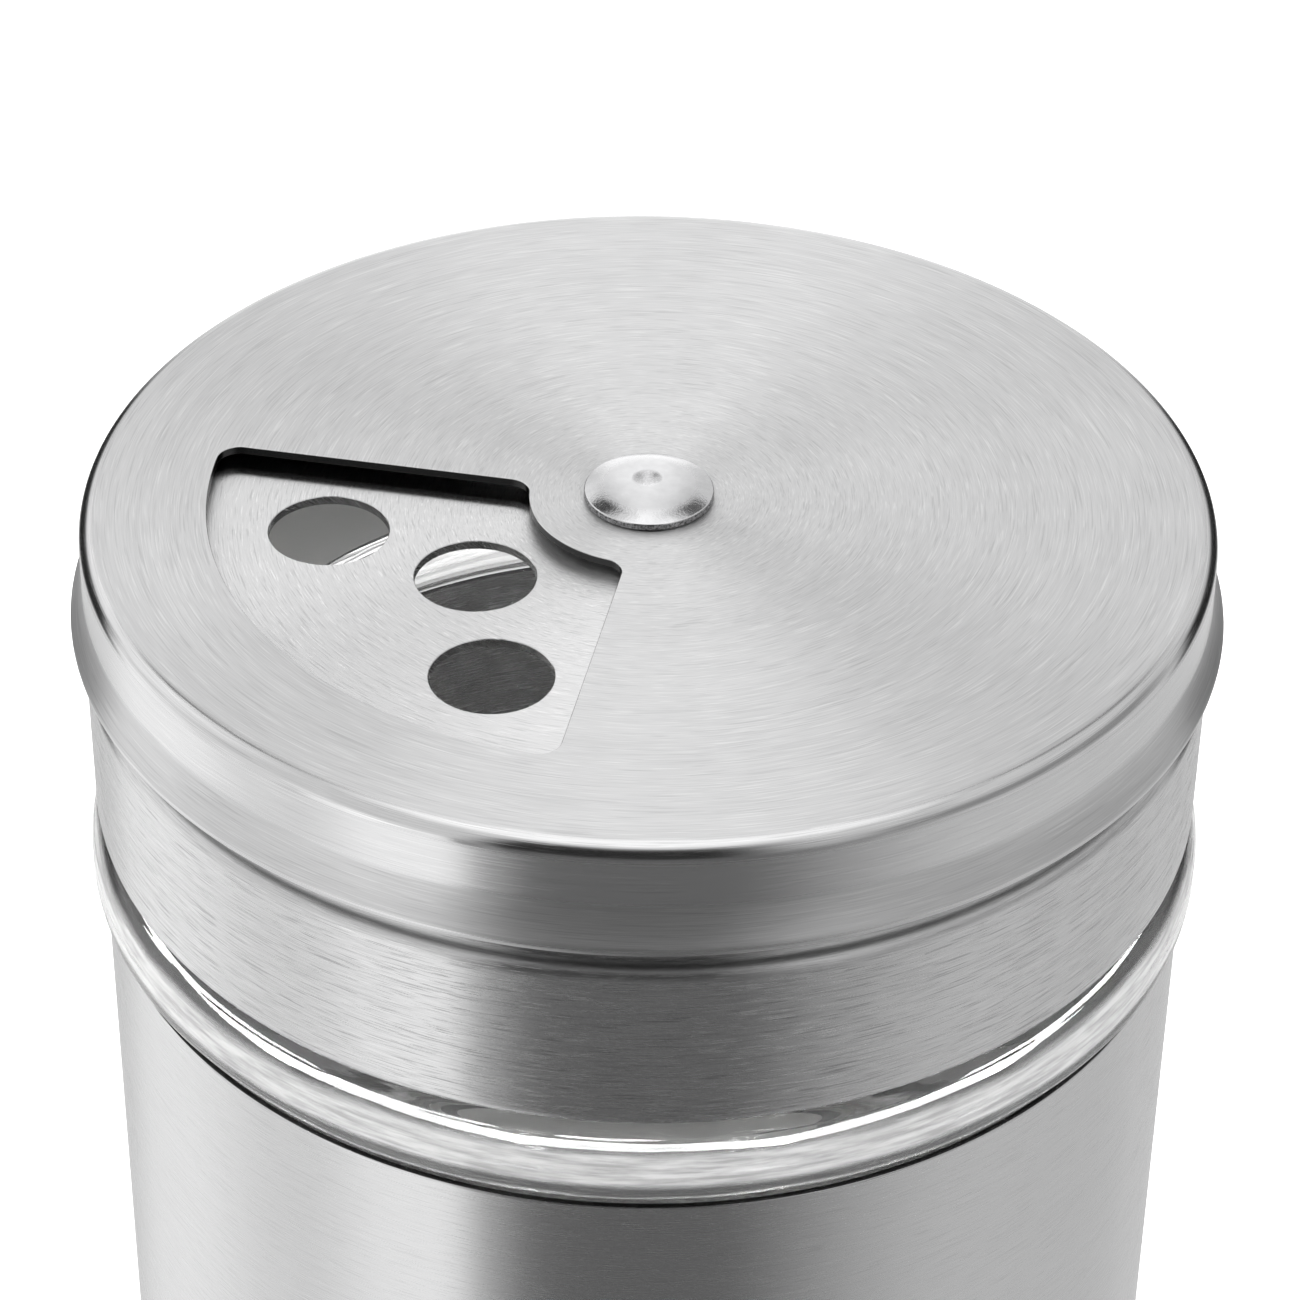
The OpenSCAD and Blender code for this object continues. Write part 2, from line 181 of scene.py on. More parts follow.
def rounded(corners):
    # closed outline whose corners (radius, height, round) are rounded, with a ring held close to each round
    points = []
    for i, (x, z, size) in enumerate(corners):
        before, after = corners[i - 1][:2], corners[(i + 1) % len(corners)][:2]
        here = (x, z)
        if size == 0:
            points.append(here)
            continue
        inWay = Vector(before) - Vector(here)
        outWay = Vector(after) - Vector(here)
        half = inWay.angle(outWay) / 2
        reach = size / math.tan(half)
        start, end = onLine(here, before, reach), onLine(here, after, reach)
        inwards = (inWay.normalized() + outWay.normalized()).normalized()
        middle = inwards * size / math.sin(half) + Vector(here)
        first = math.atan2(start[1] - middle.y, start[0] - middle.x)
        swing = math.atan2(end[1] - middle.y, end[0] - middle.x) - first
        swing = (swing + math.pi) % wholeTurn - math.pi
        points.append(onLine(start, before, holdClose))
        points += arc(middle, size, math.degrees(first), math.degrees(first + swing))
        points.append(onLine(end, after, holdClose))
    return points


def ringSector(inner, outer, direction, span, corner, grow=0.0):
    # rounded outline of a wedge-shaped opening in a disc, seen from above, made larger all round by grow
    a, b = direction - span / 2, direction + span / 2
    outC, inC = outer - corner, inner + corner
    outTurn = math.degrees(math.asin(corner / outC))
    inTurn = math.degrees(math.asin(corner / inC))
    cornerSteps, outSteps, inSteps = 10, 48, 32
    outGap, inGap = 1, 2       # degrees left free between a corner and the arc beside it

    def polar(radius, angle):
        return (radius * math.cos(math.radians(angle)), radius * math.sin(math.radians(angle)))
    size = corner + grow
    return (arc(polar(outC, a + outTurn), size, a - 90, a + outTurn, cornerSteps)
            + arc((0, 0), outer + grow, a + outTurn + outGap, b - outTurn - outGap, outSteps)
            + arc(polar(outC, b - outTurn), size, b - outTurn, b + 90, cornerSteps)
            + arc(polar(inC, b - inTurn), size, b + 90, b - inTurn + 180, cornerSteps)
            + arc((0, 0), inner - grow, b - inTurn - inGap, a + inTurn + inGap, inSteps)
            + arc(polar(inC, a + inTurn), size, a + inTurn + 180, a + 270, cornerSteps))


# Geometry Nodes trees

def offAxis(add, parts):
    # where a point lies seen from above, and how far that is from Z
    flat = add(joinNode, parts["X"], parts["Y"])
    return flat, add(vectorNode, flat, operation="LENGTH")


def roundAxis(add, radius, angle, height):
    # the point at this radius and angle round Z
    x, y = (add(mathNode, radius, add(mathNode, angle, operation=part), operation="MULTIPLY")
            for part in ("COSINE", "SINE"))
    return add(joinNode, x, y, height)


def turnTree():
    # turns an outline, the chain of points in the piece's own mesh, round Z
    tree, add, given = newTree("turnOutline", {"Steps": "Int"})
    count = add("GeometryNodeAttributeDomainSize", {"Geometry": given["Geometry"]}).outputs["Point Count"]
    columns = add(mathNode, given["Steps"], 1.0)
    grid = add("GeometryNodeMeshGrid", {"Vertices X": count, "Vertices Y": columns})
    index = add("GeometryNodeInputIndex")
    share = add(mathNode, index, columns, operation="DIVIDE")
    ring = add(mathNode, share, operation="FLOOR")
    step = add(mathNode, index, columns, operation="MODULO")
    part = add(mathNode, step, given["Steps"], operation="DIVIDE")
    angle = add(mathNode, part, wholeTurn, operation="MULTIPLY")
    place = add("GeometryNodeInputPosition")
    point = add("GeometryNodeSampleIndex",
                {"Geometry": given["Geometry"], "Value": place, "Index": ring}, data_type="FLOAT_VECTOR")
    parts = add(splitNode, point).outputs
    turned = roundAxis(add, parts["X"], angle, parts["Z"])
    moved = add("GeometryNodeSetPosition", {"Geometry": grid, "Position": turned})
    closed = add("GeometryNodeMergeByDistance", {"Geometry": moved, "Distance": seamGap * mm})
    endTree(add, given, closed)
    return tree


def threadTree():
    # raises a right-handed thread, with ends that run out, on the wall that has the root radius
    wallWithin = 0.02          # what is this near to the root radius is that wall
    tree, add, given = newTree("raiseThread", dict.fromkeys((
        "Root radius", "Height", "Start height", "Lead", "Turns", "Half root", "Half crest", "Run out"),
        "Float"))
    parts = add(splitNode, add("GeometryNodeInputPosition")).outputs
    flat, radius = offAxis(add, parts)
    angle = add(mathNode, parts["Y"], parts["X"], operation="ARCTAN2")
    turn = add(mathNode, angle, wholeTurn, operation="DIVIDE")
    above = add(mathNode, parts["Z"], given["Start height"], operation="SUBTRACT")
    rise = add(mathNode, above, given["Lead"], operation="DIVIDE")
    apart = add(mathNode, rise, turn, operation="SUBTRACT")
    nearest = add(mathNode, apart, operation="ROUND")
    winding = add(mathNode, turn, nearest)
    offTurns = add(mathNode, apart, nearest, operation="SUBTRACT")
    offHeight = add(mathNode, offTurns, given["Lead"], operation="MULTIPLY")
    off = add(mathNode, offHeight, operation="ABSOLUTE")
    section = add(rangeNode, off, given["Half root"], given["Half crest"], interpolation_type="SMOOTHSTEP")
    left = add(mathNode, given["Turns"], winding, operation="SUBTRACT")
    start = add(rangeNode, winding, 0.0, given["Run out"])
    end = add(rangeNode, left, 0.0, given["Run out"])
    ends = add(mathNode, start, end, operation="MINIMUM")
    reach = add(mathNode, radius, given["Root radius"], wallWithin * mm, operation="COMPARE")
    for share in (section, ends, given["Height"]):
        reach = add(mathNode, reach, share, operation="MULTIPLY")
    grow = add(mathNode, reach, given["Root radius"], operation="DIVIDE")
    shift = add(vectorNode, flat, grow, operation="SCALE")
    raised = add("GeometryNodeSetPosition", {"Geometry": given["Geometry"], "Offset": shift})
    endTree(add, given, raised)
    return tree


def punchTree():
    # punches three large holes and a fan of rows of fine ones, each with its drawn-in upper edge
    largeHoles, largeSides, fineSides = 3, 96, 40
    tree, add, given = newTree("punchHoles", {**dict.fromkeys((
        "Top", "Depth", "Edge", "Direction", "Large radius", "Inner place", "Outer place", "Spread",
        "Fine radius", "Fine direction", "First place", "Pitch"), "Float"), "First count": "Int"})
    doubleEdge = add(mathNode, given["Edge"], 2.0, operation="MULTIPLY")
    below = add(mathNode, doubleEdge, -1.0, operation="MULTIPLY")
    drop = add(joinNode, {"Z": below})

    def punch(radius, sides):
        # two tools: a straight punch through the sheet, and a short cone that breaks its upper edge
        straight = add("GeometryNodeMeshCylinder",
                       {"Vertices": sides, "Radius": radius, "Depth": given["Depth"]})
        cone = add("GeometryNodeMeshCone", {
            "Vertices": sides, "Depth": doubleEdge,
            "Radius Bottom": add(mathNode, radius, given["Edge"], operation="SUBTRACT"),
            "Radius Top": add(mathNode, radius, given["Edge"])})
        return straight, add("GeometryNodeTransform", {"Geometry": cone, "Translation": drop})

    def spots(count, radius, angle):
        # points on the sheet, whose place is worked out from each one's number
        place = roundAxis(add, radius, angle, given["Top"])
        return add("GeometryNodePoints", {"Count": count, "Position": place})

    # of the large holes, number 0 is the inner one, and 1 and 2 lie further out on either side
    number = add("GeometryNodeInputIndex")
    outerOnes = add(mathNode, number, 0.5, operation="GREATER_THAN")
    sign = add(mathNode, number, 2.0, -3.0, operation="MULTIPLY_ADD")
    side = add(mathNode, outerOnes, sign, operation="MULTIPLY")
    largeAngle = add(mathNode, side, given["Spread"], given["Direction"], operation="MULTIPLY_ADD")
    further = add(mathNode, given["Outer place"], given["Inner place"], operation="SUBTRACT")
    largePlace = add(mathNode, outerOnes, further, given["Inner place"], operation="MULTIPLY_ADD")
    places = [(spots(largeHoles, largePlace, largeAngle), punch(given["Large radius"], largeSides))]
    finePunch = punch(given["Fine radius"], fineSides)
    for row in range(capSizes["fineRows"]):
        count = add(mathNode, given["First count"], float(row))
        radius = add(mathNode, given["Pitch"], float(row), given["First place"], operation="MULTIPLY_ADD")
        middle = add(mathNode, count, 0.5, -0.5, operation="MULTIPLY_ADD")
        offset = add(mathNode, number, middle, operation="SUBTRACT")
        gap = add(mathNode, given["Pitch"], radius, operation="DIVIDE")
        angle = add(mathNode, offset, gap, given["Fine direction"], operation="MULTIPLY_ADD")
        places.append((spots(count, radius, angle), finePunch))
    cut = add("GeometryNodeMeshBoolean", {"Mesh 1": given["Geometry"]},
              operation="DIFFERENCE", solver="EXACT")
    for kind in (0, 1):
        several = add("GeometryNodeJoinGeometry")
        for points, tools in places:
            placed = add("GeometryNodeInstanceOnPoints", {"Points": points, "Instance": tools[kind]})
            tree.links.new(placed.outputs[0], several.inputs["Geometry"])
        tools = add("GeometryNodeRealizeInstances", {"Geometry": several})
        tree.links.new(tools.outputs[0], cut.inputs["Mesh 2"])
    endTree(add, given, cut)
    return tree


turnOutline = turnTree()
raiseThread = threadTree()


def turnedPiece(name, outline, material, steps=turnSteps):
    # a new piece whose mesh is the outline (closed, unless both ends are on the axis), turned round Z
    if max(outline[0][0], outline[-1][0]) > seamGap:
        outline = outline + outline[:1]
    chain = bpy.data.meshes.new(name)
    chain.from_pydata([(x * mm, 0, z * mm) for x, z in outline],
                      [(i, i + 1) for i in range(len(outline) - 1)], [])
    piece = newObject(name, chain)
    addTree(piece, turnOutline, {"Steps": steps, "Material": material})
    return piece


def loftedCutter(layers):
    # closed tool from outlines (points, height) stacked on each other, all with as many points
    shape = bmesh.new()
    rings = [[shape.verts.new((x * mm, y * mm, z * mm)) for x, y in points] for points, z in layers]
    for low, high in zip(rings, rings[1:]):
        for i in range(len(low)):
            j = (i + 1) % len(low)
            shape.faces.new((low[i], low[j], high[j], high[i]))
    shape.faces.new(rings[0][::-1])
    shape.faces.new(rings[-1])
    bmesh.ops.recalc_face_normals(shape, faces=shape.faces)
    tool = newObject("cutter", bpy.data.meshes.new("cutter"))
    shape.to_mesh(tool.data)
    shape.free()
    return tool


def cutOut(piece, tool, material):
    # takes the tool away from the piece, leaves its own material on the cut faces, and deletes the tool
    cut = piece.modifiers.new("cutOut", "BOOLEAN")
    cut.operation = "DIFFERENCE"
    cut.solver = "EXACT"
    cut.object = tool
    result = applyModifiers(piece)
    result.materials.clear()
    result.materials.append(material)
    result.polygons.foreach_set("material_index", [0] * len(result.polygons))
    bpy.data.objects.remove(tool)


def wedgeTool(sizes, direction, top, sheet, edge):
    # tool for a wedge-shaped opening in a sheet, with a drawn-in upper edge
    below, bulge = 1, 0.4      # how far the tool reaches under the sheet, and where the drawn edge swells
    wide, tall = 4, 1.5        # how far it goes on above the sheet, in widths of the edge

    def wall(grow):
        return ringSector(sizes["inner"], sizes["outer"], direction, sizes["span"], sizes["corner"], grow)
    return loftedCutter([
        (wall(0), top - sheet - below), (wall(0), top - edge), (wall(edge * bulge), top - edge * bulge),
        (wall(edge), top), (wall(edge * wide), top + edge * tall)])


# Materials

def newMaterial(name):
    # an empty material, and what adds a node to it
    material = bpy.data.materials.new(name)
    material.use_nodes = True
    material.node_tree.nodes.clear()
    return material, nodeAdder(material.node_tree)


def endMaterial(add, shaderValues, look=None, height=None):
    # the shader and the output; a look gives its relief to the height
    if look:
        shaderValues["Normal"] = add("ShaderNodeBump", {
            "Height": height, "Strength": look["relief"], "Distance": look["reliefDepth"] * mm})
    shader = add("ShaderNodeBsdfPrincipled", shaderValues)
    add("ShaderNodeOutputMaterial", {"Surface": shader})


def scratches(add, along, across, detail=1.0):
    # noise in circles round Z: a scratch is about 1/along radians long and `across` mm wide
    parts = add(splitNode, add(placeNode).outputs["Object"]).outputs
    flat, radius = offAxis(add, parts)
    direction = add(vectorNode, flat, operation="NORMALIZE")
    around = add(vectorNode, direction, along, operation="SCALE")
    depth = add(mathNode, radius, parts["Z"], operation="SUBTRACT")
    widths = add(mathNode, depth, 1 / (across * mm), operation="MULTIPLY")
    vector = add(vectorNode, around, add(joinNode, {"Z": widths}))
    return add(noiseNode, {"Vector": vector, "Scale": 1.0, "Detail": detail, "Roughness": 0.6})


def grains(add, size, detail):
    # noise whose grains are about `size` mm across
    place = add(placeNode).outputs["Object"]
    return add(noiseNode, {"Vector": place, "Scale": 1 / (size * mm), "Detail": detail})


def ringedSteel(name, look):
    # stainless steel worked while it turns: its reflections stretch across the fine rings of the abrasive.
    # Tone and roughness differ between flat and wall. The die leaves the bends that face up smoother, and
    # the punch leaves the cut edges dull; their darker colour is partly that dullness and partly painted
    # shade
    wallFacing, bendFacing, flatFacing = (0.12, 0.04), (0.06, 0.2), (0.995, 0.95)      # how far faces look up
    linePeaks, lineDepth = (0.60, 0.66), 0.8       # the noise's peaks show as separate lines, cut this deep
    darkLonger, darkWider = 0.8, 1.1               # the dark ones against the light ones
    material, add = newMaterial(name)
    fine = scratches(add, look["fineAlong"], look["fineWidth"], 2.0)
    broad = scratches(add, look["broadAlong"], look["broadWidth"], 2.0)
    light = add(rangeNode, scratches(add, look["lineAlong"], look["lineWidth"]), *linePeaks)
    darkNoise = scratches(add, look["lineAlong"] * darkLonger, look["lineWidth"] * darkWider)
    dark = add(rangeNode, darkNoise, *linePeaks)
    tone = -(look["fineTone"] + look["broadTone"]) / 2
    for pattern, amount in ((fine, look["fineTone"]), (broad, look["broadTone"]),
                            (light, look["lineTone"]), (dark, -look["lineTone"])):
        tone = add(mathNode, pattern, amount, tone, operation="MULTIPLY_ADD")
    coordinates = add(placeNode).outputs
    facing = add(splitNode, coordinates["Normal"]).outputs["Z"]
    place = add(splitNode, coordinates["Object"]).outputs
    level = add(mathNode, facing, operation="ABSOLUTE")
    upright = add(rangeNode, level, *wallFacing)
    contrast = add(mixNode, upright, look["flatTone"], look["wallTone"])
    share = add("ShaderNodeClamp", add(mathNode, tone, contrast, 0.5, operation="MULTIPLY_ADD"))
    colour = add(mixNode, share, linear(look["dark"]), linear(look["light"]), data_type="RGBA")
    brushed = add(mixNode, upright, look["roughness"], look["wallRoughness"])
    wallLines = add(mathNode, light, upright, operation="MULTIPLY")
    brushed = add(mathNode, wallLines, look["lineRoughness"], brushed, operation="MULTIPLY_ADD")
    bend = add(mathNode, place["Z"], look["bendAbove"] * mm, operation="GREATER_THAN")
    for limits in (bendFacing, flatFacing):
        bend = add(mathNode, bend, add(rangeNode, facing, *limits), operation="MULTIPLY")
    rough = add(mixNode, bend, brushed, look["bendRoughness"])
    # painted shade: the cut edges get a darker colour, partly their own dullness and partly the shade that
    # falls on them; on the sleeve the rim and the top of its inner wall carry the painted shadow of the gap
    # under the glass bead
    inside = add(mathNode, offAxis(add, place)[1], look["edgesWithin"] * mm, operation="LESS_THAN")
    cutEdgeAndShadeMask = add(mathNode, place["Z"], look["edgesAbove"] * mm, operation="GREATER_THAN")
    for limit in (inside, add(rangeNode, level, *look["edgesFacing"])):
        cutEdgeAndShadeMask = add(mathNode, cutEdgeAndShadeMask, limit, operation="MULTIPLY")
    colour = add(mixNode, cutEdgeAndShadeMask, colour, linear(look["cutEdgeAndShade"]), data_type="RGBA")
    cut = add(mathNode, light, -lineDepth, fine, operation="MULTIPLY_ADD")
    tangent = add("ShaderNodeTangent", direction_type="RADIAL", axis="Z")
    endMaterial(add, {
        "Base Color": colour, "Metallic": 1.0, "Roughness": rough, "Tangent": tangent,
        "Anisotropic": look["anisotropy"], "Anisotropic Rotation": 0.25}, look, cut)
    return material


# Type 304 stainless, spun under a pad: fine rings round the rivet, silky fans of light
spunCover = dict(
    dark="#a9a9aa", light="#f0f0f0", roughness=0.40, wallRoughness=0.24, anisotropy=0.93,
    fineAlong=8.0, fineWidth=0.09, fineTone=0.6, broadAlong=1.2, broadWidth=1.6,
    broadTone=0.25, lineAlong=8.0, lineWidth=0.08, lineTone=0.22, flatTone=0.72,
    wallTone=0.4, lineRoughness=0.0, relief=0.5, reliefDepth=0.003, bendRoughness=0.15,
    # the cut edges' dark colour is partly painted shade: the shade on the window's cut wall above the gap
    bendAbove=92.9, cutEdgeAndShade="#4a4a4a", edgesWithin=28.0, edgesAbove=0.0,
    edgesFacing=(0.5, 0.3))
# Type 304 stainless band, brushed as it turns: short level scratches
brushedCap = dict(spunCover, dark="#9a9a9b", light="#f2f2f2", roughness=0.255, anisotropy=1.0, fineAlong=14.0,
                  fineWidth=0.08, fineTone=0.7, lineAlong=14.0, lineWidth=0.07, lineTone=0.4,
                  lineRoughness=0.28, broadAlong=2.0, broadTone=0.15, flatTone=0.45, wallTone=0.75,
                  # the darker colour of the cut walls of the holes and the mouth is partly painted shade
                  relief=1.0, cutEdgeAndShade="#8a8a8a")
# Type 304 stainless tube, brushed round the wall, a little finer; its cut edge is the rim, which is painted
# dark together with the top of the inner wall: painted shadow of the gap under the glass bead
brushedSleeve = dict(brushedCap, wallTone=0.22, lineRoughness=0.08, relief=0.4, edgesWithin=30.86,
                     edgesAbove=69.6, edgesFacing=(2.0, 1.5), cutEdgeAndShade="#303030")
# The mark of the heading die on the rivet, in millimetres; its specks fade in between shares of the radius
dimple = dict(
    place=(-0.1, 0.3, 94.9), radius=0.85, depth=0.16, fullness=0.6, specksBetween=(1.05, 0.7))


def rivetSteel(look):
    # bright-rolled stainless wire, cold headed: satin on the flat of the head, polished where it rolls off,
    # and dull with fine pits on the edge that the heading die leaves
    material, add = newMaterial("headedStainless")
    coordinates = add(placeNode).outputs
    facing = add(splitNode, coordinates["Normal"]).outputs["Z"]
    grain = grains(add, look["grain"], 4.0)
    patches = grains(add, look["patch"], 3.0)
    colour = add(mixNode, patches, linear(look["dark"]), linear(look["light"]), data_type="RGBA")
    edge = add(rangeNode, facing, *look["edgeFacing"])
    centre = [value * mm for value in dimple["place"]]
    off = add(vectorNode, coordinates["Object"], centre, operation="DISTANCE").outputs["Value"]
    marked = add(rangeNode, off, *(dimple["radius"] * share * mm for share in dimple["specksBetween"]))
    speckled = add(mathNode, marked, add(rangeNode, grain, *look["speckPeaks"]), operation="MULTIPLY")
    faint = add(mathNode, speckled, look["speckShare"], operation="MULTIPLY")
    edge = add(mathNode, edge, faint, operation="MAXIMUM")
    pits = add(rangeNode, grain, *look["pitPeaks"])
    edgeColour = add(mixNode, pits, linear(look["pit"]), linear(look["edge"]), data_type="RGBA")
    colour = add(mixNode, edge, colour, edgeColour, data_type="RGBA")
    blend = add(mathNode, patches, look["smoke"], facing, operation="MULTIPLY_ADD")
    rough = add(rangeNode, blend, *look["rollFacing"], look["satin"], look["polished"])
    rough = add(mixNode, edge, rough, look["edgeRoughness"])
    height = add(mathNode, patches, look["patchRelief"], grain, operation="MULTIPLY_ADD")
    endMaterial(add, {"Base Color": colour, "Metallic": 1.0, "Roughness": rough}, look, height)
    return material


def pressedGlass(look):
    # pressed soda-lime glass: clear, with the mould's ripple; a streaky band round the rolled bead shows its
    # white base colour: painted light for the light the bead refracts
    material, add = newMaterial("pressedSodaGlass")
    ripple = scratches(add, look["rippleAlong"], look["ripple"], 1.5)
    # painted light: less light passes through the band round the bead, so the lamps light its white base
    # colour
    litBand = add(rangeNode, scratches(add, look["litStreakAlong"], look["litStreakWidth"], 3.0), *look["litStreakShares"])
    height = add(splitNode, add(placeNode).outputs["Object"]).outputs["Z"]
    for limit, inwards in ((look["litBandFrom"], look["litBandSoft"]), (look["litBandTo"], -look["litBandSoft"])):
        side = add(rangeNode, height, (limit - inwards) * mm, (limit + inwards) * mm)
        litBand = add(mathNode, litBand, side, operation="MULTIPLY")
    clear = add(mathNode, litBand, -look["milkyAndLitBand"], look["clearness"], operation="MULTIPLY_ADD")
    endMaterial(add, {
        "Base Color": linear(look["tint"]), "Roughness": look["roughness"], "IOR": 1.52,
        "Transmission Weight": clear}, look, ripple)
    return material


def mouldedPlastic(name, look):
    # a moulded or stamped polymer: soft sheen, spark-eroded grain and slight unevenness of tone
    grainPeaks, uneven = (0.3, 0.7), 0.06      # the roughness goes up and down by this much
    material, add = newMaterial(name)
    grain = grains(add, look["grain"], 3.0)
    cloud = grains(add, look["cloud"], 2.0)
    colour = add(mixNode, cloud, linear(look["dark"]), linear(look["light"]), data_type="RGBA")
    rough = add(rangeNode, grain, *grainPeaks, look["roughness"] - uneven, look["roughness"] + uneven)
    endMaterial(add, {
        "Base Color": colour, "Roughness": rough, "IOR": look["ior"], "Subsurface Weight": look["milkyAndLitBand"],
        "Subsurface Radius": (1.0, 1.0, 1.0), "Subsurface Scale": 1.5 * mm}, look, grain)
    return material


coverSteel = ringedSteel("spunStainless", spunCover)
capSteel = ringedSteel("brushedStainlessCap", brushedCap)
sleeveSteel = ringedSteel("brushedStainlessSleeve", brushedSleeve)
rivetFinish = rivetSteel(dict(
    dark="#c2c2c3", light="#dcdcdd", pit="#585858", edge="#c0c0c1", satin=0.34,
    polished=0.13, rollFacing=(0.99, 0.97), edgeFacing=(0.6, 0.2), edgeRoughness=0.4,
    grain=0.12, patch=0.7, pitPeaks=(0.35, 0.65), speckPeaks=(0.45, 0.6), speckShare=0.6,
    smoke=0.012, patchRelief=1.5, relief=0.6, reliefDepth=0.01))
# Cold-rolled spring stainless, left as rolled: grey and slightly streaked; its cut edges keep the cover's
# darker colour, partly painted shade
springFinish = ringedSteel("rolledSpringSteel", dict(
    spunCover, dark="#9a9a9c", light="#b4b4b6", anisotropy=0.3, fineWidth=0.08))
# the streaky band round the bead, 72.2 to 74.1 mm up, is painted light
glassFinish = pressedGlass(dict(
    tint="#f0f0f0", roughness=0.02, clearness=0.97, milkyAndLitBand=0.55, litBandFrom=72.2,
    litBandTo=74.1, litBandSoft=0.2, litStreakAlong=9.0, litStreakWidth=0.35, litStreakShares=(0.35, 0.65, 0.55, 1.0),
    rippleAlong=5.0, ripple=1.2, relief=0.5, reliefDepth=0.05))
# Injection-moulded polypropylene: white, slightly waxy
linerFinish = mouldedPlastic("mouldedPolypropylene", dict(
    dark="#e6e6e3", light="#f2f2f0", roughness=0.42, ior=1.49, milkyAndLitBand=0.1,
    grain=0.12, cloud=6.0, relief=0.2, reliefDepth=0.01))
# Stamped nylon sheet: dark grey and matt
nylonFinish = mouldedPlastic("stampedNylon", dict(
    dark="#262627", light="#343435", roughness=0.55, ior=1.53, milkyAndLitBand=0.0,
    grain=0.08, cloud=2.0, relief=0.3, reliefDepth=0.008))
# Compression-moulded silicone: milky, dry to the touch
siliconeFinish = mouldedPlastic("mouldedSilicone", dict(
    dark="#d8d8d4", light="#e6e6e3", roughness=0.6, ior=1.41, milkyAndLitBand=0.35,
    grain=0.1, cloud=5.0, relief=0.2, reliefDepth=0.01))
print("materials ready")


# Rotating cover

coverSizes = dict(
    wall=31.0, sheet=0.45, edgeRound=1.0, flareRound=4.4, flareAngle=32.0, lipRound=0.5,
    lipTurn=270.0, lipSteps=28, lipOpen=6.0, bore=2.05, boreRound=0.06, hold=0.06,
    direction=214.4, punchedEdge=0.03,
    window=dict(inner=6.55, outer=24.05, span=90.0, corner=1.2))


def rotatingCover():
    s = coverSizes
    low, high = boxOf("rotating_cover")
    top, wall, sheet = high.z, s["wall"], s["sheet"]
    flare, lip = s["flareRound"], s["lipRound"]
    lipHeight = low.z + lip
    turn = math.radians(s["flareAngle"])
    flareCentre = (wall + flare, lipHeight + (flare + lip) * math.sin(turn))
    lipCentre = (flareCentre[0] - (flare + lip) * math.cos(turn), lipHeight)
    edgeCentre = (wall - s["edgeRound"], top - s["edgeRound"])
    hold = s["hold"]
    outline = ([(s["bore"] + s["boreRound"], top), (edgeCentre[0] - hold, top)]
               + arc(edgeCentre, s["edgeRound"], 90, 0)
               + [(wall, edgeCentre[1] - hold), (wall, flareCentre[1] + hold)]
               + arc(flareCentre, flare, 180, 180 + s["flareAngle"], steps=8)
               + arc(lipCentre, lip, s["flareAngle"], s["flareAngle"] - s["lipTurn"], s["lipSteps"])[1:]
               + arc(flareCentre, flare + sheet, 180 + s["flareAngle"] - s["lipOpen"], 180, steps=6)
               + [(wall - sheet, flareCentre[1] + hold), (wall - sheet, edgeCentre[1] - hold)]
               + arc(edgeCentre, s["edgeRound"] - sheet, 0, 90)
               + [(edgeCentre[0] - hold, top - sheet), (s["bore"], top - sheet),
                  (s["bore"], top - s["boreRound"])])
    piece = turnedPiece("rotatingCover", outline, coverSteel, fineSteps)
    window = wedgeTool(s["window"], s["direction"], top, sheet, s["punchedEdge"])
    cutOut(piece, window, coverSteel)
    settle(piece)
    finishPiece(piece, "cover", "cover_steel", "rotating_cover")


# Sieve cap

capSizes = dict(
    band=31.1, top=30.2, sheet=0.5, edgeRound=0.9, hemRound=0.7, hemInner=28.9,
    bandHeight=9.65, shoulderHeight=1.2, lowShare=0.6, bore=1.65, punchedEdge=0.04,
    direction=214.4, largeAhead=1.0, largeHole=6.55, innerPlace=11.3, outerPlace=17.5,
    spread=27.4, punchDepth=2.0, mouthAhead=90.0, fineAhead=-90.0, hold=0.06,
    fineHole=2.0, firstPlace=9.4, pitch=3.8, firstCount=3, fineRows=4,
    mouth=dict(inner=8.6, outer=22.0, span=70.0, corner=2.0))


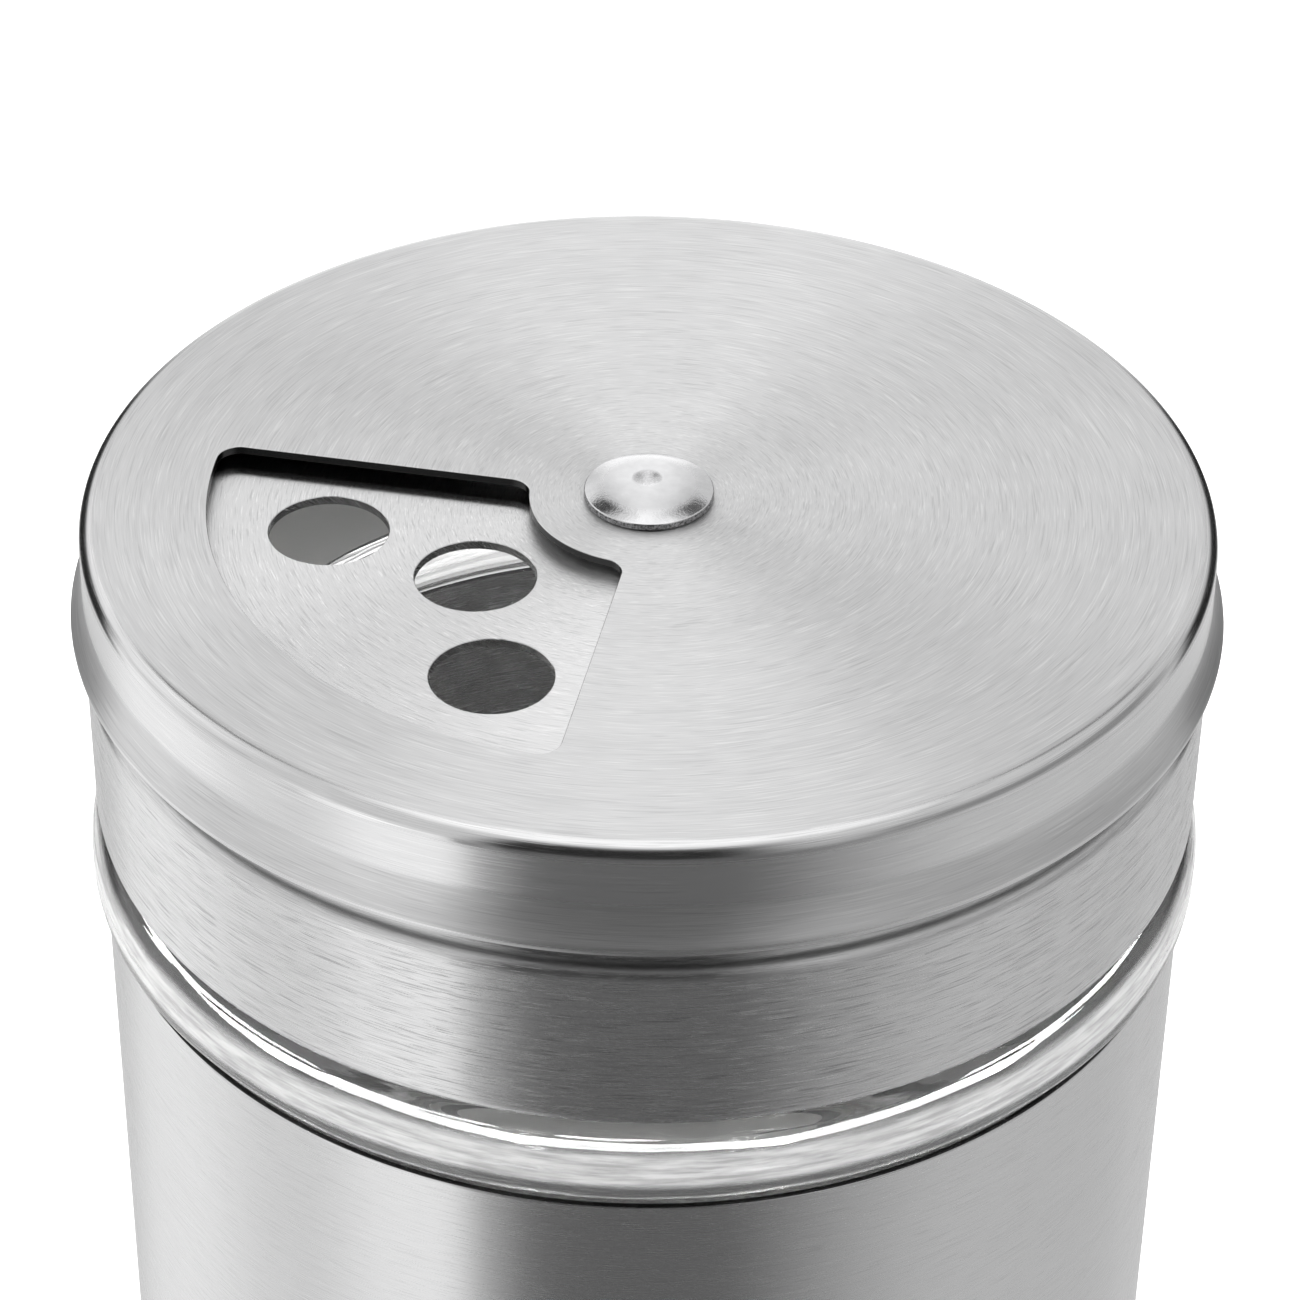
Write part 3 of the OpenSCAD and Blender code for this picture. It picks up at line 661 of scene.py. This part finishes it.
def sieveCap():
    s = capSizes
    low, high = boxOf("sieve_cap")
    plate, foot, sheet = high.z, low.z, s["sheet"]
    bandTop = foot + s["bandHeight"]
    shoulder = bandTop + s["shoulderHeight"]
    turn = 2 * math.atan((s["band"] - s["top"]) / s["shoulderHeight"])
    bothRounds = s["shoulderHeight"] / math.sin(turn)
    lowRound = bothRounds * s["lowShare"]
    highRound = bothRounds - lowRound
    turn = math.degrees(turn)
    lowCentre = (s["band"] - lowRound, bandTop)
    highCentre = (s["top"] + highRound, shoulder)
    edgeCentre = (s["top"] - s["edgeRound"], plate - s["edgeRound"])
    hemCentre = (s["band"] - s["hemRound"], foot + s["hemRound"])
    hold = s["hold"]
    outline = ([(s["bore"], plate), (edgeCentre[0] - hold, plate)]
               + arc(edgeCentre, s["edgeRound"], 90, 0)
               + [(s["top"], edgeCentre[1] - hold), (s["top"], shoulder + hold)]
               + arc(highCentre, highRound, 180, 180 + turn)
               + arc(lowCentre, lowRound, turn, 0)
               + [(s["band"], bandTop - hold), (s["band"], hemCentre[1] + hold)]
               + arc(hemCentre, s["hemRound"], 0, -90)
               + arc((s["hemInner"] + sheet / 2, foot + sheet / 2), sheet / 2, -90, -270, steps=8)
               + arc(hemCentre, s["hemRound"] - sheet, -90, 0)
               + [(s["band"] - sheet, hemCentre[1] + hold), (s["band"] - sheet, bandTop)]
               + arc(highCentre, highRound + sheet, 180 + turn, 180)
               + [(s["top"] - sheet, edgeCentre[1] - hold)]
               + arc(edgeCentre, s["edgeRound"] - sheet, 0, 90)
               + [(edgeCentre[0] - hold, plate - sheet), (s["bore"], plate - sheet)])
    piece = turnedPiece("sieveCap", outline, capSteel, fineSteps)
    mouth = wedgeTool(s["mouth"], s["direction"] + s["mouthAhead"], plate, sheet, s["punchedEdge"])
    cutOut(piece, mouth, capSteel)
    addTree(piece, punchTree(), {
        "Top": plate * mm, "Depth": s["punchDepth"] * mm, "Edge": s["punchedEdge"] * mm,
        "Direction": math.radians(s["direction"] + s["largeAhead"]), "Large radius": s["largeHole"] / 2 * mm,
        "Inner place": s["innerPlace"] * mm, "Outer place": s["outerPlace"] * mm,
        "Spread": math.radians(s["spread"]), "Fine radius": s["fineHole"] / 2 * mm,
        "Fine direction": math.radians(s["direction"] + s["fineAhead"]), "First place": s["firstPlace"] * mm,
        "Pitch": s["pitch"] * mm, "First count": s["firstCount"], "Material": capSteel})
    settle(piece)
    finishPiece(piece, "lid", "cap_steel", "sieve_cap")


# Pivot rivet

rivetSizes = dict(
    edgeHeight=0.45, domeRise=0.5, head=3.55, shoulder=2.0, tail=1.6, clinch=2.7,
    hollow=0.9, clinchHeight=0.6, edgeRound=0.1, rollOff=2.7, undercut=(0.3, 0.12),
    domeSteps=44, turnSteps=160)


def pivotRivet():
    s = rivetSizes
    low, high = boxOf("pivot_rivet")
    coverTop = high.z - s["edgeHeight"] - s["domeRise"]
    plateTop = boxOf("sieve_cap")[1].z
    clinchTop = low.z + s["clinchHeight"]
    clinchRound = s["clinchHeight"] / 2
    domeEdge = s["head"] - 1.5 * s["edgeRound"]        # the dome ends a little before the rounded rim
    places = [domeEdge * i / s["domeSteps"] for i in range(s["domeSteps"] + 1)]
    dome = [(x, high.z - s["domeRise"] * (x / s["head"]) ** s["rollOff"]) for x in places]
    rim = rounded([dome[-1] + (0,), (s["head"], coverTop + s["edgeHeight"], s["edgeRound"]),
                   (s["head"], coverTop, 0)])[1:-1]
    deep, tall = s["undercut"]
    outline = (dome + rim
               + [(s["head"], coverTop + tall), (s["head"] - deep, coverTop + tall / 3),
                  (s["head"] - deep, coverTop), (s["shoulder"], coverTop),
                  (s["shoulder"], plateTop), (s["tail"], plateTop), (s["tail"], clinchTop)]
               + arc((s["clinch"] - clinchRound, clinchTop - clinchRound), clinchRound, 90, -90)
               + [(s["hollow"] + clinchRound, low.z), (s["hollow"], clinchTop), (0, clinchTop)])
    piece = settle(turnedPiece("pivotRivet", outline, rivetFinish, s["turnSteps"]))
    centre = Vector(dimple["place"]).xy
    for vertex in piece.data.vertices:
        off = (Vector(vertex.co.xy) / mm - centre).length / dimple["radius"]
        if vertex.co.z / mm > coverTop + s["edgeHeight"] and off < 1:
            sink = (0.5 + 0.5 * math.cos(math.pi * off)) ** dimple["fullness"]
            vertex.co.z -= dimple["depth"] * mm * sink
    finishPiece(piece, "lid", "rivet_steel", "pivot_rivet")


# Glass jar

jarSizes = dict(
    wall=30.1, inner=27.5, corner=3.0, ringWidth=2.4, pushUp=1.8, baseThick=3.2,
    pushUpRound=0.8, ringRound=0.6, underRound=0.5, holdRow=0.1,
    innerBend=(0.6, 0.2), beadUnder=70.7, beadHeight=4.3, beadTopRound=2.15, beadLowRound=1.2, neck=27.3,
    neckRound=1.6, mouth=24.3, mouthRound=1.2, rowSpacing=0.11,
    threadHeight=1.0, threadDrop=2.1, threadTurns=1.25,
    flowLines={71.2: 0.03, 71.75: 0.02, 72.5: 0.035, 72.9: 0.02, 73.3: 0.03, 73.75: 0.02},
    flowWidth=0.07, waviness=0.07, waves=((1.0, 5, 1), (0.6, 13, 0), (0.4, 29, 2)))
threadSizes = dict(lead=4.0, rootWidth=1.9, crestWidth=0.7, runOut=30 / 360)


def jarThreadStart(mouth):
    return mouth - jarSizes["threadDrop"] - threadSizes["lead"] * jarSizes["threadTurns"]


def cutThread(piece, root, height, start, turns, material):
    t = threadSizes
    addTree(piece, raiseThread, {
        "Root radius": root * mm, "Height": height * mm, "Start height": start * mm, "Lead": t["lead"] * mm,
        "Turns": turns, "Half root": t["rootWidth"] / 2 * mm, "Half crest": t["crestWidth"] / 2 * mm,
        "Run out": t["runOut"], "Material": material})


def glassJar():
    s = jarSizes
    low, high = boxOf("glass_jar")
    foot, mouth, widest = low.z, high.z, high.x
    under, shoulder = s["beadUnder"], s["beadUnder"] + s["beadHeight"]
    floor = foot + s["pushUp"] + s["baseThick"]
    ringOuter = s["wall"] - s["corner"]
    ringInner = ringOuter - s["ringWidth"]
    pushRound, ringRound, underRound = s["pushUpRound"], s["ringRound"], s["underRound"]
    pushEdge = ringInner - s["pushUp"] - pushRound
    far, near = s["innerBend"]
    # the glass ran in the mould and left fine grooves round the bead
    lowRound, topRound = s["beadLowRound"], s["beadTopRound"]
    bead = (arc((widest - lowRound, under + lowRound), lowRound, -75, 0, steps=36)
            + arc((widest - topRound, shoulder - topRound), topRound, 0, 90, steps=72))
    grooves = s["flowLines"].items()
    bead = [(x - sum(deep * math.exp(-((z - at) / s["flowWidth"]) ** 2) for at, deep in grooves), z)
            for x, z in bead]
    neckFoot = (s["neck"], shoulder + s["neckRound"])
    neckTop = (s["neck"], mouth - s["mouthRound"])
    outline = ([(0, foot + s["pushUp"]), (pushEdge, foot + s["pushUp"])]
               + arc((pushEdge, foot + s["pushUp"] - pushRound), pushRound, 90, 45)[1:]
               + arc((ringInner + ringRound, foot + ringRound), ringRound, 225, 270)
               + arc((ringOuter, foot + s["corner"]), s["corner"], -90, 0)
               + [(s["wall"], foot + s["corner"] + s["holdRow"]), (s["wall"], under - underRound)]
               + arc((s["wall"] + underRound, under - underRound), underRound, 180, 90, steps=6)[1:-1]
               + bead
               + arc((neckFoot[0] + s["neckRound"], neckFoot[1]), s["neckRound"], 270, 180)
               + rows(neckFoot, neckTop, s["rowSpacing"])
               + arc((neckTop[0] - s["mouthRound"], neckTop[1]), s["mouthRound"], 0, 90)
               + arc((s["mouth"] + s["mouthRound"], neckTop[1]), s["mouthRound"], 90, 180)
               + [(s["mouth"], shoulder + far), (s["mouth"] + near / 2, shoulder - near),
                  (s["inner"] - near, under + near), (s["inner"], under - far)]
               + arc((s["inner"] - s["corner"], floor + s["corner"]), s["corner"], 0, -90)
               + [(0, floor)])
    piece = turnedPiece("glassJar", outline, glassFinish)
    cutThread(piece, s["neck"], s["threadHeight"], jarThreadStart(mouth), s["threadTurns"], glassFinish)
    settle(piece, sharpAngle=60)
    for vertex in piece.data.vertices:
        x, y, z = vertex.co / mm
        if under < z < shoulder and math.hypot(x, y) > s["wall"] + underRound:
            turn = math.atan2(y, x)
            wave = sum(share * math.sin(count * turn + start) for share, count, start in s["waves"])
            vertex.co.z += s["waviness"] * wave * mm * min(1, z - under, shoulder - z)
    piece.visible_shadow = False       # light falls through the glass into the jar and the sleeve
    return finishPiece(piece, "jar", "clear_glass", "glass_jar")


# Steel sleeve

sleeveSizes = dict(
    sheet=0.4, footCorner=2.0, footRing=1.5, panelRise=0.8, bendRound=0.5, bendIn=0.3,
    holdRow=0.1)


def steelSleeve():
    s = sleeveSizes
    high = boxOf("steel_sleeve")[1]
    wall, rim, sheet, bend = high.x, high.z, s["sheet"], s["bendRound"]
    ringOuter = wall - s["footCorner"]
    ringInner = ringOuter - s["footRing"]
    panel = ringInner - s["panelRise"]
    cornerTop = s["footCorner"] + s["holdRow"]
    rimFoot = rim - sheet / 2 - holdClose
    outline = ([(0, s["panelRise"]), (panel - s["bendIn"] - s["holdRow"], s["panelRise"])]
               + arc((panel - s["bendIn"], s["panelRise"] - bend), bend, 85, 45, steps=4)
               + arc((ringInner + s["bendIn"], bend), bend, 225, 270, steps=4)
               + arc((ringOuter, s["footCorner"]), s["footCorner"], -90, 0)
               + [(wall, cornerTop), (wall, rimFoot)]
               + arc((wall - sheet / 2, rim - sheet / 2), sheet / 2, 0, 180, steps=10)
               + [(wall - sheet, rimFoot), (wall - sheet, cornerTop)]
               + arc((ringOuter, s["footCorner"]), s["footCorner"] - sheet, 0, -90)
               + [(ringInner + sheet / 2, sheet), (panel + sheet / 2, s["panelRise"] + sheet),
                  (0, s["panelRise"] + sheet)])
    piece = settle(turnedPiece("steelSleeve", outline, sleeveSteel, fineSteps))
    finishPiece(piece, "sleeve", "sleeve_steel", "steel_sleeve")


def flatRing(name, node, bore, edge, material, body, slot, thick=None):
    # a disc or washer with softened edges, which fills its CAD node's box; one with a thickness of its own
    # is a shallow cone
    low, high = boxOf(node)
    thick = thick or high.z - low.z
    if bore:
        outline = rounded([(bore, low.z + thick, edge), (high.x, high.z, edge),
                           (high.x, high.z - thick, edge), (bore, low.z, edge)])
    else:
        outline = ([(0, high.z), (high.x - edge - holdClose, high.z)]
                   + arc((high.x - edge, high.z - edge), edge, 90, 0)
                   + arc((high.x - edge, low.z + edge), edge, 0, -90)
                   + [(high.x - edge - holdClose, low.z), (0, low.z)])
    piece = settle(turnedPiece(name, outline, material))
    finishPiece(piece, body, slot, node)


# Discs, washers and the disc spring: node, bore, edge round, material, body, slot, and the spring's thickness
ringSizes = {
    "cushionDisc": ("cushion_disc", 0, 0.25, siliconeFinish, "sleeve", "silicone"),
    "sealGasket": ("seal_gasket", 24.6, 0.2, siliconeFinish, "lid_seal", "silicone"),
    "frictionWasher": ("friction_washer", 2.05, 0.08, nylonFinish, "lid", "grey_plastic"),
    "backingWasher": ("backing_washer", 1.65, 0.06, springFinish, "lid", "spring_steel"),
    "discSpring": ("disc_spring", 1.65, 0.05, springFinish, "lid", "spring_steel", 0.3)}


# Thread liner, moulded in one piece

linerSizes = dict(
    bore=28.6, threadHeight=0.85, threadTurns=1.0, outer=30.55, upper=29.65, chamfer=0.9,
    lowChamfer=0.2, stepHeight=85.45, webInner=24.6, web=1.0, rowSpacing=0.13)


def threadLiner():
    s = linerSizes
    low, high = boxOf("thread_liner")
    boreFoot, boreTop = (s["bore"], low.z), (s["bore"], high.z - s["web"])
    outline = ([boreFoot, (s["outer"] - s["lowChamfer"], low.z), (s["outer"], low.z + s["lowChamfer"]),
                (s["outer"], s["stepHeight"]), (s["upper"], s["stepHeight"]),
                (s["upper"], high.z - s["chamfer"]), (s["upper"] - s["chamfer"], high.z),
                (s["webInner"], high.z), (s["webInner"], high.z - s["web"]), boreTop]
               + rows(boreTop, boreFoot, s["rowSpacing"]))
    piece = turnedPiece("threadLiner", outline, linerFinish)
    start = jarThreadStart(boxOf("glass_jar")[1].z) - threadSizes["lead"] / 2
    cutThread(piece, s["bore"], -s["threadHeight"], start, s["threadTurns"], linerFinish)
    settle(piece, sharpAngle=50)
    finishPiece(piece, "lid", "white_plastic", "thread_liner")


rotatingCover()
sieveCap()
pivotRivet()
jar = glassJar()
steelSleeve()
threadLiner()
for name, values in ringSizes.items():
    flatRing(name, *values)
print("pieces ready")


# Camera, floor and studio lights

cameraSizes = dict(
    place=(0.18, -193.95, 224.03), pitchDown=35.91, roll=0.84, lens=118.44, sensor=36.0,
    near=0.01, far=20)


def setCamera():
    s = cameraSizes
    data = bpy.data.cameras.new("camera")
    data.lens = s["lens"]
    data.sensor_width = s["sensor"]
    data.clip_start = s["near"]
    data.clip_end = s["far"]
    camera = newObject("camera", data)
    camera.matrix_world = (Matrix.Translation(Vector(s["place"]) * mm)
                           @ Matrix.Rotation(math.radians(90 - s["pitchDown"]), 4, "X")
                           @ Matrix.Rotation(math.radians(s["roll"]), 4, "Z"))
    bpy.context.scene.camera = camera


def setFloor():
    # a plain white table; the steel sees the tent instead
    half, colour = 2.0, "#fafafa"
    mesh = bpy.data.meshes.new("floor")
    corners = [(-half, -half, 0), (half, -half, 0), (half, half, 0), (-half, half, 0)]
    mesh.from_pydata(corners, [], [(0, 1, 2, 3)])
    material, add = newMaterial("floor")
    endMaterial(add, {"Base Color": linear(colour), "Roughness": 0.7})
    mesh.materials.append(material)
    floor = newObject("floor", mesh)
    floor.visible_glossy = False


# name: place, aim, width, height, radiance
softboxes = {
    "overhead": ((0, 60, 640), (0, 60, 0), 900, 800, 3.0),
    "left": ((-560, -160, 360), (0, -160, 360), 1100, 700, 1.0),
    "right": ((560, -120, 360), (0, -120, 360), 1000, 700, 0.8)}


def newLight(name, kind, place, energy):
    # a light that is neither seen nor mirrored
    data = bpy.data.lights.new(name, kind)
    data.energy = energy
    light = newObject(name, data)
    light.location = Vector(place) * mm
    light.visible_camera = False
    light.visible_glossy = False
    return light


def softbox(name, place, aim, width, height, radiance):
    # lights the table, the plastic and the silicone; the steel and the glass get theirs from the tent
    light = newLight(name, "AREA", place, radiance * math.pi * width * height * mm * mm)
    light.data.shape = "RECTANGLE"
    light.data.size, light.data.size_y = width * mm, height * mm
    light.rotation_euler = (Vector(aim) - Vector(place)).to_track_quat("-Z", "Y").to_euler()
    return light


# Light tent round the object: a white ground, and soft-edged panels and flags laid over it in this order
tentGlow = 0.99
throughGlass = 0.5         # share of the tent's light that shows through the glass
# Degrees: turn to the right from the front, reach to its left and right, low and high edge, softness of
# the left, the right, and the low and high edges. The glow comes last
tentPanels = {
    "canopy": (0, 180, 180, 8, 100, 1, 1, 14, 0.85),
    "overhead": (0, 180, 180, 66, 100, 1, 1, 14, 1.48),
    "behind": (183, 11, 8, -8, 100, 12, 12, 12, 1.5),
    "leftBack": (-121, 37, 28, 12, 52, 30, 30, 20, 1.2),
    "upperLeftGap": (-148, 13, 13, 41, 57, 10, 10, 8, 0.06),
    "upperRightGap": (148, 12, 12, 41, 57, 10, 10, 8, 0.12),
    "leftTable": (-54, 9, 18, -100, -2, 10, 10, 10, 1.34),
    "leftRoom": (-115, 18, 21, -100, -2, 14, 14, 10, 1.29),
    "rightSide": (98, 70, 38, -100, 45, 50, 30, 30, 0.77),
    "rightHorizon": (80, 40, 30, -6, 24, 30, 20, 14, 0.34),
    "frontStep": (-28, 6.5, 6, -100, 2, 3, 3, 4, 0.36),
    "frontTable": (0, 25.5, 45, -100, 2, 3, 56, 4, 0.18),
    "frontRoom": (0, 30, 26, 0, 58, 12, 30, 8, 0.03),
    "backLeftFlag": (-139, 22, 22, -24, 13, 10, 10, 10, 0.02),
    "backRightFlag": (139, 22, 22, -24, 13, 10, 10, 10, 0.02)}


def setTent():
    world = bpy.data.worlds.new("studio")
    bpy.context.scene.world = world
    world.use_nodes = True
    world.cycles.sampling_method = "NONE"
    world.node_tree.nodes.clear()
    add = nodeAdder(world.node_tree)
    halfTurn = 180.0
    way = add(splitNode, add(placeNode).outputs["Generated"]).outputs
    towardsFront = add(mathNode, way["Y"], -1.0, operation="MULTIPLY")
    turnRadians = add(mathNode, way["X"], towardsFront, operation="ARCTAN2")
    turn = add(mathNode, turnRadians, operation="DEGREES")
    heightRadians = add(mathNode, way["Z"], operation="ARCSINE")
    height = add(mathNode, heightRadians, operation="DEGREES")
    glow = tentGlow
    for middle, left, right, low, high, leftSoft, rightSoft, heightSoft, panelGlow in tentPanels.values():
        off = add(mathNode, add(mathNode, turn, -middle), halfTurn, -halfTurn, operation="WRAP")
        mask = 1.0
        for value, edge, soft in ((off, -left, leftSoft / 2), (off, right, -rightSoft / 2),
                                  (height, low, heightSoft / 2), (height, high, -heightSoft / 2)):
            side = add(rangeNode, value, edge - soft, edge + soft, interpolation_type="SMOOTHSTEP")
            mask = add(mathNode, side, mask, operation="MULTIPLY")
        glow = add(mixNode, mask, glow, panelGlow)
    lightPath = add("ShaderNodeLightPath").outputs
    dimmed = add(mathNode, lightPath["Is Transmission Ray"], throughGlass - 1, 1.0, operation="MULTIPLY_ADD")
    glow = add(mathNode, glow, dimmed, operation="MULTIPLY")
    seen = add(mixNode, lightPath["Is Camera Ray"], glow, 1.0)         # plain white behind the table
    tent = add("ShaderNodeBackground", {"Color": linear("#ffffff"), "Strength": seen})
    add("ShaderNodeOutputWorld", {"Surface": tent})


stripSizes = dict(
    turns=(-100, -50, 0, 50, 100), up=44, distance=900, aim=74, width=820, depth=330,
    radiance=20.0)


def glassStrips():
    # strip lights in a bow in front and above, which only the glass sees: one highlight on the bead
    s = stripSizes
    glassOnly = bpy.data.collections.new("glassOnly")
    glassOnly.objects.link(jar)
    up, aim = math.radians(s["up"]), (0, 0, s["aim"])
    reach = s["distance"] * math.cos(up)
    for turn in s["turns"]:
        across, ahead = math.sin(math.radians(turn)), math.cos(math.radians(turn))
        place = (reach * across, -reach * ahead, s["aim"] + s["distance"] * math.sin(up))
        strip = softbox("glassStrip", place, aim, s["width"], s["depth"], s["radiance"])
        strip.visible_glossy = True
        strip.visible_diffuse = False
        strip.light_linking.receiver_collection = glassOnly


fillSizes = dict(height=58, radius=14, energy=0.0065)


def insideFill():
    # a little light inside the jar, as daylight falls in through the glass
    s = fillSizes
    light = newLight("insideFill", "POINT", (0, 0, s["height"]), s["energy"])
    light.data.shadow_soft_size = s["radius"] * mm
    light.visible_transmission = False


def setStudio():
    bpy.context.scene.view_settings.view_transform = "Standard"
    setTent()
    setFloor()
    glassStrips()
    insideFill()
    for name, values in softboxes.items():
        softbox(name, *values)


setCamera()
setStudio()
print("studio ready")
